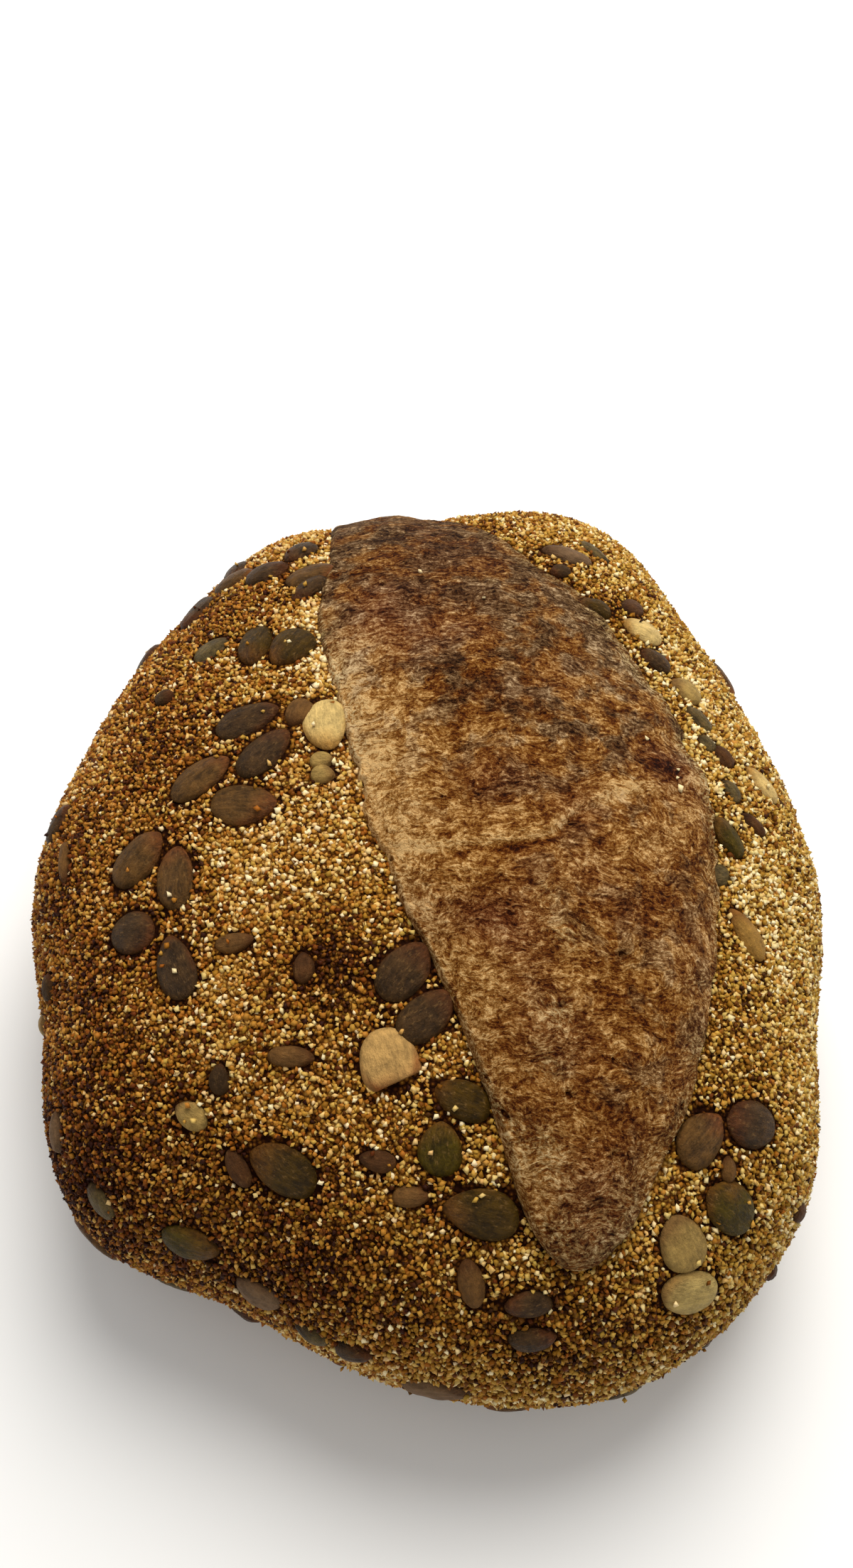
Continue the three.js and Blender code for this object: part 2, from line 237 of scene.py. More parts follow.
ON_SEED_LIFT = 2  # mm over the crust, on a seed's middle
SEED_SHADE = (1.35, 0.4)  # painted shade on the crust round a seed: out to this share, by this tone
GRAINS_UNDER = 0.35  # the share of grains that are kept under the loaf
UNDERSIDE_TOP = 2  # mm
SEED_REACH = 6  # a point farther over or under a seed's middle than this isn't near the seed
COVERING_DEPTH = 5  # a seed sunk this deep would lie under the grains
FAR = 9  # the share for points that no seed is near

# Grain colours by tone from 0 to 1, for the orange, the yellow and the greenish hue
PALETTE_TONES = (0, 0.2, 0.4, 0.6, 0.8, 1)
PALETTES = [
    [(42, 10, 1), (97, 43, 3), (151, 85, 17), (188, 128, 49), (216, 174, 108), (238, 211, 165)],
    [(48, 19, 1), (101, 56, 4), (154, 105, 25), (191, 149, 62), (222, 192, 119), (240, 222, 172)],
    [(54, 31, 1), (107, 72, 6), (154, 116, 32), (190, 157, 71), (214, 194, 130), (236, 222, 178)],
]

# Toasted and pale patches of the cornmeal, partly its own colour and partly painted shade and painted
# light: azimuth, rise, radius in mm and change of tone
TOAST_AND_PAINTED_LIGHT = [
    (222, 14, 34, -0.33), (252, 16, 20, -0.28), (246, 51, 9, -0.46), (285, 12, 22, -0.14),
    (200, 20, 34, -0.1), (170, 66, 22, 0.11), (255, 40, 16, 0.12), (330, 22, 40, 0.1),
    (128, 29, 14, -0.23), (164, 40, 15, -0.18), (224, 34, 15, 0.14), (320, 30, 14, -0.16),
    (311, 18, 13, -0.12), (294, 24, 8, 0.2), (281, 14, 13, -0.12), (177, 27, 14, -0.12),
    (117, 49, 10, 0.5), (240, 37, 12, -0.04), (32, 32, 12, 0.26), (146, 29, 12, -0.12),
    (350, 32, 12, 0.1), (202, 56, 11, 0.17), (194, 32, 10, 0.08), (340, 24, 12, 0.06),
    (128, 45, 9, 0.14), (110, 36, 7, 0.1), (222, 56, 8, 0.05), (269, 43, 6, 0.15),
    (287, 28, 6, 0.15), (298, 29, 6, 0.15), (12, 35, 7, 0.08),
]

# Camera: 330 mm from the middle of the loaf, on a line 62 degrees up, pitched 58 degrees down
CAMERA_DISTANCE = 330
CAMERA_ELEVATION = 62.0
CAMERA_PITCH = 58.06
CAMERA_AIM_HEIGHT = 44
CAMERA_LENS = 34
CAMERA_SENSOR = 36

# Studio, in metres and watts
FLOOR_SIZE = 6
FLOOR_COLOUR = (244, 243, 240)
SKY_STRENGTH = 0.55
LAMP_PLACE = (0.12, 0.35, 0.75)
LAMP_SIZE = 0.6
LAMP_POWER = 7
LAMP_COLOUR = (1, 0.98, 0.95)

rng = np.random.default_rng(DRAWS_START)


def smooth(values, place, closed=False):
    """Values on a smooth curve through evenly spaced ones, at places from 0 to 1."""
    values = np.asarray(values, float)
    spans = len(values) if closed else len(values) - 1
    place = (np.mod(place, 1) if closed else np.clip(place, 0, 1)) * spans
    first = np.minimum(np.floor(place), spans - 1).astype(int)
    s = place - first
    if values.ndim > 1:
        s = s[:, None]
    index = [first + k for k in (-1, 0, 1, 2)]
    limit = len(values)
    a, b, c, d = (values[i % limit if closed else np.clip(i, 0, limit - 1)] for i in index)
    curve = (2 * a - 5 * b + 4 * c - d) * s ** 2 + (3 * b - a - 3 * c + d) * s ** 3
    return b + ((c - a) * s + curve) / 2


def unit(vectors):
    """Vectors at length 1."""
    return vectors / np.linalg.norm(vectors, axis=-1, keepdims=True)


def direction(azimuth, rise):
    """Unit directions from the core, for degrees round it and above its level."""
    a, r = np.radians(azimuth), np.radians(rise)
    return np.stack([np.cos(r) * np.cos(a), np.cos(r) * np.sin(a), np.sin(r) + 0 * a], -1)


def hump(distance, width):
    """A round hump of height 1 that fades over a width."""
    return np.exp(-(distance / width) ** 2)


# Large numbers that scramble the place of a cell into a value that looks random
HASH_FACTORS = (73856093, 19349663, 83492791)
HASH_MIX = 1274126177


def noise(points, size, start=0):
    """Smooth bumps from -1 to 1 about `size` across, the same on every run."""
    cells = points / size + start * 7.31
    low = np.floor(cells).astype(np.int64)
    part = cells - low
    blend = part * part * (3 - 2 * part)
    total = np.zeros(len(points))
    for corner in product((0, 1), repeat=3):
        x, y, z = ((low + corner) * HASH_FACTORS).T
        mixed = x ^ y ^ z
        mixed = (mixed ^ (mixed >> 13)) * HASH_MIX
        value = ((mixed >> 8) & 65535) / 32767.5 - 1
        total += value * np.where(corner, blend, 1 - blend).prod(axis=1)
    return total


def reach(d):
    """How far the crust lies from the core along unit directions."""
    level = np.hypot(d[:, 0], d[:, 1])
    level /= smooth(PLAN_RADII, np.arctan2(d[:, 1], d[:, 0]) / (2 * np.pi), closed=True)
    crown = np.maximum(d[:, 2], 0) / (CROWN_HEIGHT - CORE[2])
    under = np.maximum(-d[:, 2], 0) / LOWER_REACH
    upper = (level ** UPPER_FULLNESS + crown ** UPPER_FULLNESS) ** (-1 / UPPER_FULLNESS)
    lower = (level ** LOWER_FULLNESS + under ** LOWER_FULLNESS) ** (-1 / LOWER_FULLNESS)
    flat = np.maximum(-d[:, 2], 1e-6) / (CORE[2] - BASE_LIFT)
    lower = (lower ** -BASE_ROUNDING + flat ** BASE_ROUNDING) ** (-1 / BASE_ROUNDING)
    return np.where(d[:, 2] >= 0, upper, lower)


# The burst's middle line, its side directions and its half spread, at even steps
LINE_STEPS = 601
line_places = np.linspace(0, 1, LINE_STEPS)
line_middles = unit(smooth([direction(a, r) for a, r, _ in BURST_LINE], line_places))
line_sides = unit(np.cross(line_middles, np.gradient(line_middles, axis=0)))
line_inward = np.minimum(line_places, 1 - line_places) * BURST_LENGTH / BURST_ROUNDING
line_rounding = np.sqrt(1 - (1 - np.minimum(line_inward, 1)) ** 2)
line_spreads = np.radians(smooth([row[2] for row in BURST_LINE], line_places)) * line_rounding


def ragged(place, side):
    """The share by which the burst's edge wanders out or in."""
    along = np.stack([place * BURST_LENGTH, np.sign(side) * 40, 0 * place], -1)
    return 1 + 0.027 * noise(along, 11, 1) + 0.026 * noise(along, 3, 2)


def burst_place(d):
    """Distance of directions outside the burst's edge, in mm."""
    outside = np.empty(len(d))
    for part in np.array_split(np.arange(len(d)), max(1, len(d) // BURST_BATCH)):
        near = (d[part] @ line_middles.T).argmax(axis=1)
        side = (d[part] * line_sides[near]).sum(axis=1)
        angle = np.arccos(np.clip((d[part] * line_middles[near]).sum(axis=1), -1, 1))
        spread = line_spreads[near] * ragged(line_places[near], side)
        outside[part] = (angle - spread) * DOME_SCALE
    return outside


def skin_relief(d, outside):
    """Dents and swellings of the crust, with a groove along the burst and a level base."""
    p = d * RELIEF_RADIUS
    relief = 0.55 * noise(p, 34, 3) + 0.4 * noise(p, 14, 4) + 0.2 * noise(p, 5, 5) - CRUST_SINK
    groove = GROOVE_DEPTH * hump(np.maximum(outside, 0), 2.2)
    inside = (UNDER_BURST - GROOVE_DEPTH) * np.clip(-outside / 4, 0, 1)
    level_base = np.clip((d[:, 2] + 0.75) * 4, 0, 1)
    return (relief - groove - inside) * level_base


def skin_point(d):
    """Points on the baked crust in unit directions, and how far they lie outside the burst."""
    outside = burst_place(d)
    return CORE + d * (reach(d) + skin_relief(d, outside))[:, None], outside


def skin_normal(d):
    """Outward normals of the dome, from points a small step to either side."""
    step = 0.012
    east = unit(np.stack([-d[:, 1], d[:, 0], np.full(len(d), 1e-9)], -1))
    north = np.cross(d, east)
    ends = []
    for axis in (east, north):
        ahead = unit(d + axis * step)
        behind = unit(d - axis * step)
        ends.append(ahead * reach(ahead)[:, None] - behind * reach(behind)[:, None])
    return unit(np.cross(*ends))


def closed_skin(first, rings, last):
    """Points and triangles of a skin over rings, closed by one point at either end."""
    count, around = rings.shape[:2]
    j = np.arange(around)
    k = (j + 1) % around
    upper = 1 + np.arange(count - 1)[:, None] * around
    a, b, c, d = upper + j, upper + k, upper + around + k, upper + around + j
    end = 1 + count * around
    pieces = [
        np.stack([0 * j, 1 + j, 1 + k], -1),
        np.stack([a, d, c], -1).reshape(-1, 3),
        np.stack([a, c, b], -1).reshape(-1, 3),
        np.stack([0 * j + end, end - around + k, end - around + j], -1),
    ]
    points = np.concatenate([[first], rings.reshape(-1, 3), [last]])
    return points, np.concatenate(pieces)


def mesh_piece(name, points, faces, material, slot, **attributes):
    """A mesh object that rides with the loaf and stands for the solid."""
    mesh = bpy.data.meshes.new(name)
    mesh.vertices.add(len(points))
    mesh.vertices.foreach_set("co", (points * MM).astype(np.float32).ravel())
    mesh.loops.add(faces.size)
    mesh.loops.foreach_set("vertex_index", faces.astype(np.int32).ravel())
    mesh.polygons.add(len(faces))
    mesh.polygons.foreach_set("loop_start", np.arange(0, faces.size, 3, dtype=np.int32))
    mesh.update(calc_edges=True)
    mesh.polygons.foreach_set("use_smooth", np.full(len(faces), True))
    for key, values in attributes.items():
        kind, field = ("FLOAT", "value") if values.ndim == 1 else ("FLOAT_VECTOR", "vector")
        layer = mesh.attributes.new(key, kind, "POINT")
        layer.data.foreach_set(field, values.astype(np.float32).ravel())
    mesh.materials.append(material)
    piece = bpy.data.objects.new(name, mesh)
    bpy.context.collection.objects.link(piece)
    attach(piece, "root")
    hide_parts("loaf")
    return piece


# Materials

def rgb(red, green, blue):
    """A screen colour as the shader's linear one."""
    share = np.array([red, green, blue]) / 255
    linear = np.where(share > 0.04045, ((share + 0.055) / 1.055) ** 2.4, share / 12.92)
    return (*linear, 1)


def add(tree, kind, inputs=(), **settings):
    """A new node, with sockets linked or plain values set on its inputs."""
    made = tree.nodes.new(kind)
    for name, value in settings.items():
        setattr(made, name, value)
    for name, value in dict(inputs).items():
        if isinstance(value, bpy.types.NodeSocket):
            tree.links.new(value, made.inputs[name])
        else:
            made.inputs[name].default_value = value
    return made


def maths(tree, operation, first, second):
    """The output of one Math node."""
    return add(tree, "ShaderNodeMath", {0: first, 1: second}, operation=operation).outputs[0]


def weighted(tree, *terms):
    """The sum of sockets, each times its weight."""
    total = 0.0
    for socket, weight in terms:
        total = maths(tree, "ADD", maths(tree, "MULTIPLY", socket, weight), total)
    return total


def times(tree, vector, scale):
    """A vector or colour times a number or socket."""
    inputs = {0: vector, "Scale": scale}
    return add(tree, "ShaderNodeVectorMath", inputs, operation="SCALE").outputs["Vector"]


def spread_out(tree, value, low, high, bottom=0, top=1):
    """A value stretched so that low becomes the bottom and high becomes the top."""
    inputs = {"Value": value, "From Min": low, "From Max": high, "To Min": bottom, "To Max": top}
    return add(tree, "ShaderNodeMapRange", inputs).outputs[0]


def ramp(tree, value, stops):
    """A colour by value, through stops of place and screen colour."""
    made = add(tree, "ShaderNodeValToRGB", {"Fac": value})
    elements = made.color_ramp.elements
    while len(elements) < len(stops):
        elements.new(0.5)
    for element, (place, colour) in zip(elements, stops):
        element.position = place
        element.color = rgb(*colour)
    return made.outputs["Color"]


def mix(tree, share, first, second):
    """The first colour, turned into the second by a share."""
    inputs = {"Factor": share, 6: first, 7: second}  # 6, 7 and output 2 are the colour sockets
    return add(tree, "ShaderNodeMix", inputs, data_type="RGBA").outputs[2]


def attribute(tree, name, output="Fac"):
    """A value that the mesh carries at each of its points."""
    return add(tree, "ShaderNodeAttribute", attribute_name=name).outputs[output]


def stretched_noise(tree, vector, scale, detail=3, roughness=0.6):
    """Noise with its own scale in X, Y and Z."""
    mapping = add(tree, "ShaderNodeMapping", {"Vector": vector, "Scale": scale})
    inputs = {"Vector": mapping.outputs[0], "Scale": 1, "Detail": detail, "Roughness": roughness}
    return add(tree, "ShaderNodeTexNoise", inputs).outputs["Fac"]


def even_noise(tree, vector, scale, detail=3, roughness=0.6):
    """Noise with one scale all round."""
    return stretched_noise(tree, vector, (scale, scale, scale), detail, roughness)


def wavy(tree, vector, scale, amount):
    """A vector shifted to and fro, so that strokes drawn along it wave."""
    inputs = {"Vector": vector, "Scale": scale, "Detail": 2}
    shift = add(tree, "ShaderNodeTexNoise", inputs).outputs["Color"]
    inputs = {0: shift, 1: (0.5, 0.5, 0.5)}
    centred = add(tree, "ShaderNodeVectorMath", inputs, operation="SUBTRACT").outputs[0]
    inputs = {0: vector, 1: times(tree, centred, amount)}
    return add(tree, "ShaderNodeVectorMath", inputs).outputs[0]


def new_material(name, **sockets):
    """A material with its node tree and its shader."""
    made = bpy.data.materials.new(name)
    made.use_nodes = True
    shader = made.node_tree.nodes["Principled BSDF"]
    for key, value in sockets.items():
        shader.inputs[key.replace("_", " ")].default_value = value
    return made, made.node_tree, shader


def bump(tree, shader, height, strength, distance):
    """Fine relief on a shader, with its distance in mm."""
    inputs = {"Height": height, "Strength": strength, "Distance": distance * MM}
    made = add(tree, "ShaderNodeBump", inputs)
    tree.links.new(made.outputs["Normal"], shader.inputs["Normal"])


def crust_material():
    """Bare crust between the grains, with small grains of its own down to fine meal, and painted shade
    in the gaps between them.
    """
    made, tree, shader = new_material("cornmeal_crust", Roughness=0.9)
    shader.inputs["Specular IOR Level"].default_value = 0.05
    place = add(tree, "ShaderNodeTexCoord").outputs["Object"]
    cells = add(tree, "ShaderNodeTexVoronoi", {"Vector": place, "Scale": 1150})
    shade = add(tree, "ShaderNodeSeparateColor", {"Color": cells.outputs["Color"]}).outputs[0]
    blotches = even_noise(tree, place, 180)
    # painted shade: darker towards each small grain's edge, where its bump is lowest
    value = weighted(tree, (shade, 0.5), (cells.outputs["Distance"], -0.75), (blotches, 0.3),
                     (attribute(tree, "tone"), 0.7))
    tree.links.new(ramp(tree, value, MEALY_CRUST), shader.inputs["Base Color"])
    bump(tree, shader, maths(tree, "MULTIPLY", cells.outputs["Distance"], -1), 1, 0.7)
    return made


def burst_material():
    """Bare crust with fine fibres from side to side, in brown, amber, red-brown and floury parts."""
    made, tree, shader = new_material("burst_crust", Roughness=0.75)
    shader.inputs["Specular IOR Level"].default_value = 0.05
    object_place = add(tree, "ShaderNodeTexCoord").outputs["Object"]
    place = times(tree, object_place, 1 / MM)
    bent = wavy(tree, wavy(tree, place, 0.12, 6), 0.5, 1.2)
    strokes = spread_out(tree, stretched_noise(tree, bent, (0.36, 0.95, 0.95), 5, 0.75), 0.38, 0.62)
    flecks = spread_out(tree, stretched_noise(tree, bent, (0.9, 1.7, 1.7), 2, 0.7), 0.36, 0.64)
    specks = spread_out(tree, even_noise(tree, place, 1.6, 3, 0.8), 0.36, 0.64)
    blotches = spread_out(tree, even_noise(tree, bent, 0.25, 4, 0.7), 0.38, 0.62)
    # paler where these noises raise the bump: partly the crust's own streaks, partly painted highlight
    # on the fibre tops and painted shade between them
    value = weighted(tree, (strokes, 0.42), (flecks, 0.34), (specks, 0.32), (blotches, 0.34),
                     (attribute(tree, "tone"), 0.77))
    value = maths(tree, "SUBTRACT", value, 0.6)
    clouds = spread_out(tree, even_noise(tree, bent, 0.13, 5, 0.6), 0.42, 0.58)
    warm = weighted(tree, (clouds, 1.2), (attribute(tree, "warm"), 1))
    dust = maths(tree, "MULTIPLY", attribute(tree, "flour"), spread_out(tree, flecks, 0.2, 0.75))
    colour = mix(tree, warm, ramp(tree, value, BROWN_CRUST), ramp(tree, value, AMBER_CRUST))
    colour = mix(tree, attribute(tree, "red"), colour, ramp(tree, value, RED_CRUST))
    colour = mix(tree, dust, colour, ramp(tree, value, FLOURY_CRUST))
    tree.links.new(colour, shader.inputs["Base Color"])
    bump(tree, shader, weighted(tree, (strokes, 1), (flecks, 0.8), (specks, 0.8)), 0.7, 0.4)
    return made


def grain_material():
    """Matte grains, each in its own colour with faint clouds."""
    made, tree, shader = new_material("cornmeal_grain", Roughness=0.6)
    shader.inputs["Specular IOR Level"].default_value = 0.12
    place = add(tree, "ShaderNodeTexCoord").outputs["Object"]
    clouds = spread_out(tree, even_noise(tree, place, 1500, 2), 0.3, 0.7, 0.84, 1.16)
    skin = times(tree, attribute(tree, "skin", "Color"), clouds)
    tree.links.new(skin, shader.inputs["Base Color"])
    return made


def seed_material(name, roughness, streak, wear):
    """Seed skin with streaks along the seed, and paler worn spots."""
    made, tree, shader = new_material(name, Roughness=roughness)
    shader.inputs["Specular IOR Level"].default_value = 0.1
    local = attribute(tree, "local", "Vector")
    streaks = stretched_noise(tree, local, (1.3, 0.4, 1), 5, 0.7)
    clouds = even_noise(tree, local, 0.35, 6, 0.75)
    both = weighted(tree, (streaks, 0.45), (clouds, 0.55))
    share = spread_out(tree, both, 0.41, 0.59, 1 - streak, 1 + streak)
    streaked = times(tree, attribute(tree, "skin", "Color"), share)
    spots = spread_out(tree, stretched_noise(tree, local, (1.6, 0.7, 1), 4, 0.7), 0.56, 0.72)
    worn = maths(tree, "MULTIPLY", spots, wear)
    colour = mix(tree, worn, streaked, rgb(*WORN_SPOTS))
    tree.links.new(colour, shader.inputs["Base Color"])
    bump(tree, shader, weighted(tree, (streaks, 1), (clouds, 1.2)), 0.8, 0.8)
    return made


# Pieces

def make_crust(seed_rows):
    """The whole baked crust under the grains."""
    rises = np.linspace(90, -90, CRUST_RINGS + 2)[1:-1]
    azimuths = np.linspace(0, 360, CRUST_AROUND, endpoint=False)
    d = direction(*np.meshgrid(azimuths, rises)).reshape(-1, 3)
    points, _ = skin_point(np.concatenate([[[0, 0, 1]], d, [[0, 0, -1]]]).astype(float))
    rings = points[1:-1].reshape(CRUST_RINGS, CRUST_AROUND, 3)
    points, faces = closed_skin(points[0], rings, points[-1])
    reach_out, painted_shade = SEED_SHADE
    # painted shade: the crust's tone is lowered round each seed
    tone = tone_at(points) - painted_shade * (seed_nearness(points, seed_rows) < reach_out)
    return mesh_piece("crust", points, faces, crust_material(), "cornmeal_crust", tone=tone)


def tone_at(points):
    """How pale the cornmeal is at points on the crust, from about 0 to 1, with toasted patches and
    painted shade and light.
    """
    tone = 0.5 + 0.1 * noise(points, 22, 11) + 0.07 * noise(points, 8, 12) + 0.07 * noise(points, 3, 13)
    # patches of toasting, painted shade and painted light
    for azimuth, rise, radius, change in TOAST_AND_PAINTED_LIGHT:
        d = direction(np.array([azimuth]), np.array([rise]))
        middle = CORE + d * reach(d)[:, None]
        tone += change * hump(np.linalg.norm(points - middle, axis=1), radius)
    return tone


def on_line(along, values):
    """Rows of values along the burst's middle line, at places from 0 to 1."""
    columns = [np.interp(along, line_places, column) for column in values.T]
    return np.stack(columns, -1)


def marks(along, across, spread, rows):
    """Distances in mm from each mark in turn, with its size and strength."""
    for place, aside, size, strength in rows:
        away = np.hypot((along - place) * BURST_LENGTH, (across - aside) * spread * DOME_SCALE)
        yield away, size, strength


def fold_distance(along, across, place):
    """How far places on the burst lie past the fold between its two lobes, in mm."""
    fold = FOLD_PLACE - FOLD_SHIFT * np.tanh(4 * (across - FOLD_TURN))
    return (along - fold) * BURST_LENGTH + 2.4 * noise(place, 8, 24)


def burst_lift(along, across, place):
    """Height of the burst over the dome, without strokes and pits."""
    rounding = np.clip(1 - np.abs(across) ** 2.2, 0, 1) ** 0.6
    rounding = rounding * np.interp(along, line_places, line_rounding)
    crest = smooth(BURST_LIFTS, along) * rounding
    past = fold_distance(along, across, place)
    fold = 0.6 * hump(past + 5, 4) + 0.4 * hump(past - 7, 5)
    fold -= FOLD_DEPTH * hump(past, FOLD_WIDTH) * (0.3 + 0.7 * hump(across, 0.6))
    lumps = 0.8 * noise(place, 17, 21) + 0.5 * noise(place, 8, 22) + 0.3 * noise(place, 3.5, 23)
    return crest + (fold + lumps) * rounding - BURST_EDGE_SINK * (1 - rounding)


def burst_directions(along, across):
    """Unit directions of places on the burst, and its half spread there in radians."""
    middle = unit(on_line(along, line_middles))
    side = unit(on_line(along, line_sides))
    spread = np.interp(along, line_places, line_spreads) * ragged(along, across) * BURST_OVERLAP
    turn = (spread * across)[:, None]
    return middle * np.cos(turn) + side * np.sin(turn), spread


def burst_tone(along, across, place, past):
    """How pale the burst is, with painted light along the fold, painted shade in the seam below it and
    a pale left flank.
    """
    tone = 0.48 + 0.06 * noise(place, 13, 34) + 0.1 * noise(place, 5, 35)
    tone += np.interp(along, (0.55, 0.65, 0.84, 0.92), (0, 0.05, 0.05, 0))
    seam_shade = hump(past - 0.8, 1) * hump(across + 0.2, 0.35)
    flank = hump(across + 1, 0.45) * np.interp(along, (0.25, 0.35, 0.6, 0.75), (0, 1, 1, 0.35))
    # 0.35 is painted light just before the fold; the seam's share is painted shade
    return tone + 0.35 * hump(past + 2.2, 1.8) - 0.55 * seam_shade + 0.42 * flank


def burst_warmth(along, across, past):
    """Where the burst is amber and not brown: at its front, its fold and its left flank."""
    warm = np.interp(along, (0.3, 0.45, 0.6, 0.7), (-0.45, -0.1, 0.2, 0.42)) + 0.4 * hump(past + 2, 4)
    return warm + 0.8 * hump(across + 1, 0.7) * np.clip((along - 0.12) * 6, 0, 1)


def burst_flour(along, across, place, within):
    """Flour in patches along the burst's edge and all along the right one."""
    patches = 0.35 * hump(within - 1.2, 1) * (noise(place, 9, 38) > -0.2)
    return patches + hump(within - 2, 2.2) * np.clip(across * 2, 0, 1) * hump(along - 0.5, 0.25)


def burst_surface(along, across):
    """Points on the burst's top, with the values that its material needs."""
    d, spread = burst_directions(along, across)
    within = (1 - np.abs(across)) * spread * DOME_SCALE
    place = d * reach(d)[:, None]
    past = fold_distance(along, across, place)
    waved = place + np.stack([0 * along, 0.8 * noise(place, 2.4, 36), 0 * along], -1)
    # The strokes are wavy and run from side to side, so they are longest in X
    strokes = 0.6 * noise(waved * [0.45, 1.3, 1.3], 1, 32) + 0.4 * noise(waved * [0.8, 2.2, 2.2], 1, 33)
    specks = noise(place, 1.2, 37)
    lift = burst_lift(along, across, place) + RIM_RELIEF * hump(within - 1.6, 0.9)
    lift += STROKE_RELIEF * (0.6 * strokes + 0.4 * specks) * np.clip(within / 2, 0, 1)
    # The tone is paler on the raised strokes and specks, a painted highlight on the fibre tops.
    values = {
        "tone": burst_tone(along, across, place, past) + 0.06 * strokes + 0.04 * specks,
        "warm": burst_warmth(along, across, past),
        "red": 0.3 * np.clip(noise(place, 9, 39), 0, 1),
        "flour": burst_flour(along, across, place, within),
    }
    for key, rows in (("tone", BURST_TONES), ("red", BURST_REDS), ("flour", BURST_FLOUR)):
        for away, size, strength in marks(along, across, spread, rows):
            values[key] += strength * hump(away, size)
    # Pits are sunk into the burst, with painted shade darkening their tone
    for away, size, depth in marks(along, across, spread, BURST_PITS + pores()):
        pit = np.exp(-(away / size) ** 4)
        lift -= depth * pit
        values["tone"] -= 0.5 * pit
        values["flour"] += 0.3 * hump(away - 1.5 * size, 0.4) - pit
    for key in ("red", "flour"):
        values[key] = np.clip(values[key], 0, 1)
    return CORE + d * (reach(d) + lift)[:, None], values


def pores():
    """Small holes strewn over the burst, as rows like the pits."""
    draw = np.random.default_rng(PORE_START)
    places = draw.uniform(*PORE_RANGES, (PORE_COUNT, 4))
    return [tuple(row) for row in places]


def make_burst():
    """The bare burst: rings of its top from end to end, closed by a root inside the loaf."""
    along = np.linspace(0, 1, BURST_RINGS + 2)[1:-1]
    even = np.linspace(-1, 1, BURST_ACROSS)
    across = (even + np.sin(even * np.pi / 2)) / 2
    u, v = (grid.ravel() for grid in np.meshgrid(along, across, indexing="ij"))
    top, values = burst_surface(u, v)
    middle = unit(on_line(along, line_middles))
    root = CORE + middle * (reach(middle) - BURST_ROOT)[:, None]
    rings = np.concatenate([top.reshape(BURST_RINGS, BURST_ACROSS, 3), root[:, None]], axis=1)
    ends = CORE + line_middles[[0, -1]] * (reach(line_middles[[0, -1]]) - BURST_EDGE_SINK)[:, None]
    points, faces = closed_skin(ends[0], rings, ends[1])
    values = {key: with_root(column) for key, column in values.items()}
    return mesh_piece("burst_crust", points, faces, burst_material(), "burst_crust", **values)


def with_root(values):
    """Values at the burst's top points, repeated for its root and its ends."""
    rows = values.reshape(BURST_RINGS, BURST_ACROSS)
    rows = np.concatenate([rows, rows[:, -1:]], axis=1).ravel()
    return np.concatenate([rows[:1], rows, rows[-1:]])


def draws(start):
    """A repeatable stream of draws between two values, as in the solid."""
    state = start

    def draw(low, high):
        nonlocal state
        state = (state * 1664525 + 1013904223) % 2 ** 32
        return low + (high - low) * state / 2 ** 32

    return draw


def plain_dome(azimuth, rise):
    """A point on the solid's dome, without relief."""
    d = direction(np.array([azimuth]), np.array([rise]))
    return (CORE + d * reach(d)[:, None])[0]


def scattered_seeds():
    """Rows for the seeds on the unseen back and sides."""
    draw = draws(SCATTER_START)
    middles = [plain_dome(row[0], row[1]) for row in PUMPKIN_SEEDS + PALE_SEEDS + SUNFLOWER_SEEDS]
    looks = ("brown", "dark", "olive", "grey")
    rows = []
    while len(rows) < SCATTER_COUNT:
        azimuth = draw(0, 360)
        backness = max(0.0, float(np.sin(np.radians(azimuth))))
        rise = draw(SCATTER_LOWEST, SCATTER_SIDE_TOP + (SCATTER_BACK_TOP - SCATTER_SIDE_TOP) * backness)
        turn = draw(0, 180)
        length = draw(*SCATTER_LENGTHS)
        width = length * draw(*SCATTER_SLIMNESS)
        middle = plain_dome(azimuth, rise)
        if all(np.linalg.norm(other - middle) > SCATTER_CLEARANCE for other in middles):
            middles.append(middle)
            rows.append((azimuth, rise, turn, length, width, looks[len(rows) % len(looks)]))
    return rows


def seed_frame(azimuth, rise, turn, look):
    """The middle of a seed and its wide, long and upward directions."""
    d = direction(np.array([azimuth], float), np.array([rise], float))
    point, _ = skin_point(d)
    normal = skin_normal(d)[0]
    level = np.array([-d[0, 1], d[0, 0], 0])
    up = unit(np.cross(normal, level))
    level = np.cross(up, normal)
    long = level * np.cos(np.radians(turn)) + up * np.sin(np.radians(turn))
    middle = point[0] + (CRUST_SINK - SEED_SINK - SUNK.get(look, 0)) * normal
    return middle, np.stack([np.cross(long, normal), long, normal])


def seed_profile(share):
    """A seed's height from 1 at its middle to 0 at its rim, by the share of the way out."""
    inner, outer = SEED_FLATNESS
    return (1 - share ** inner) ** outer


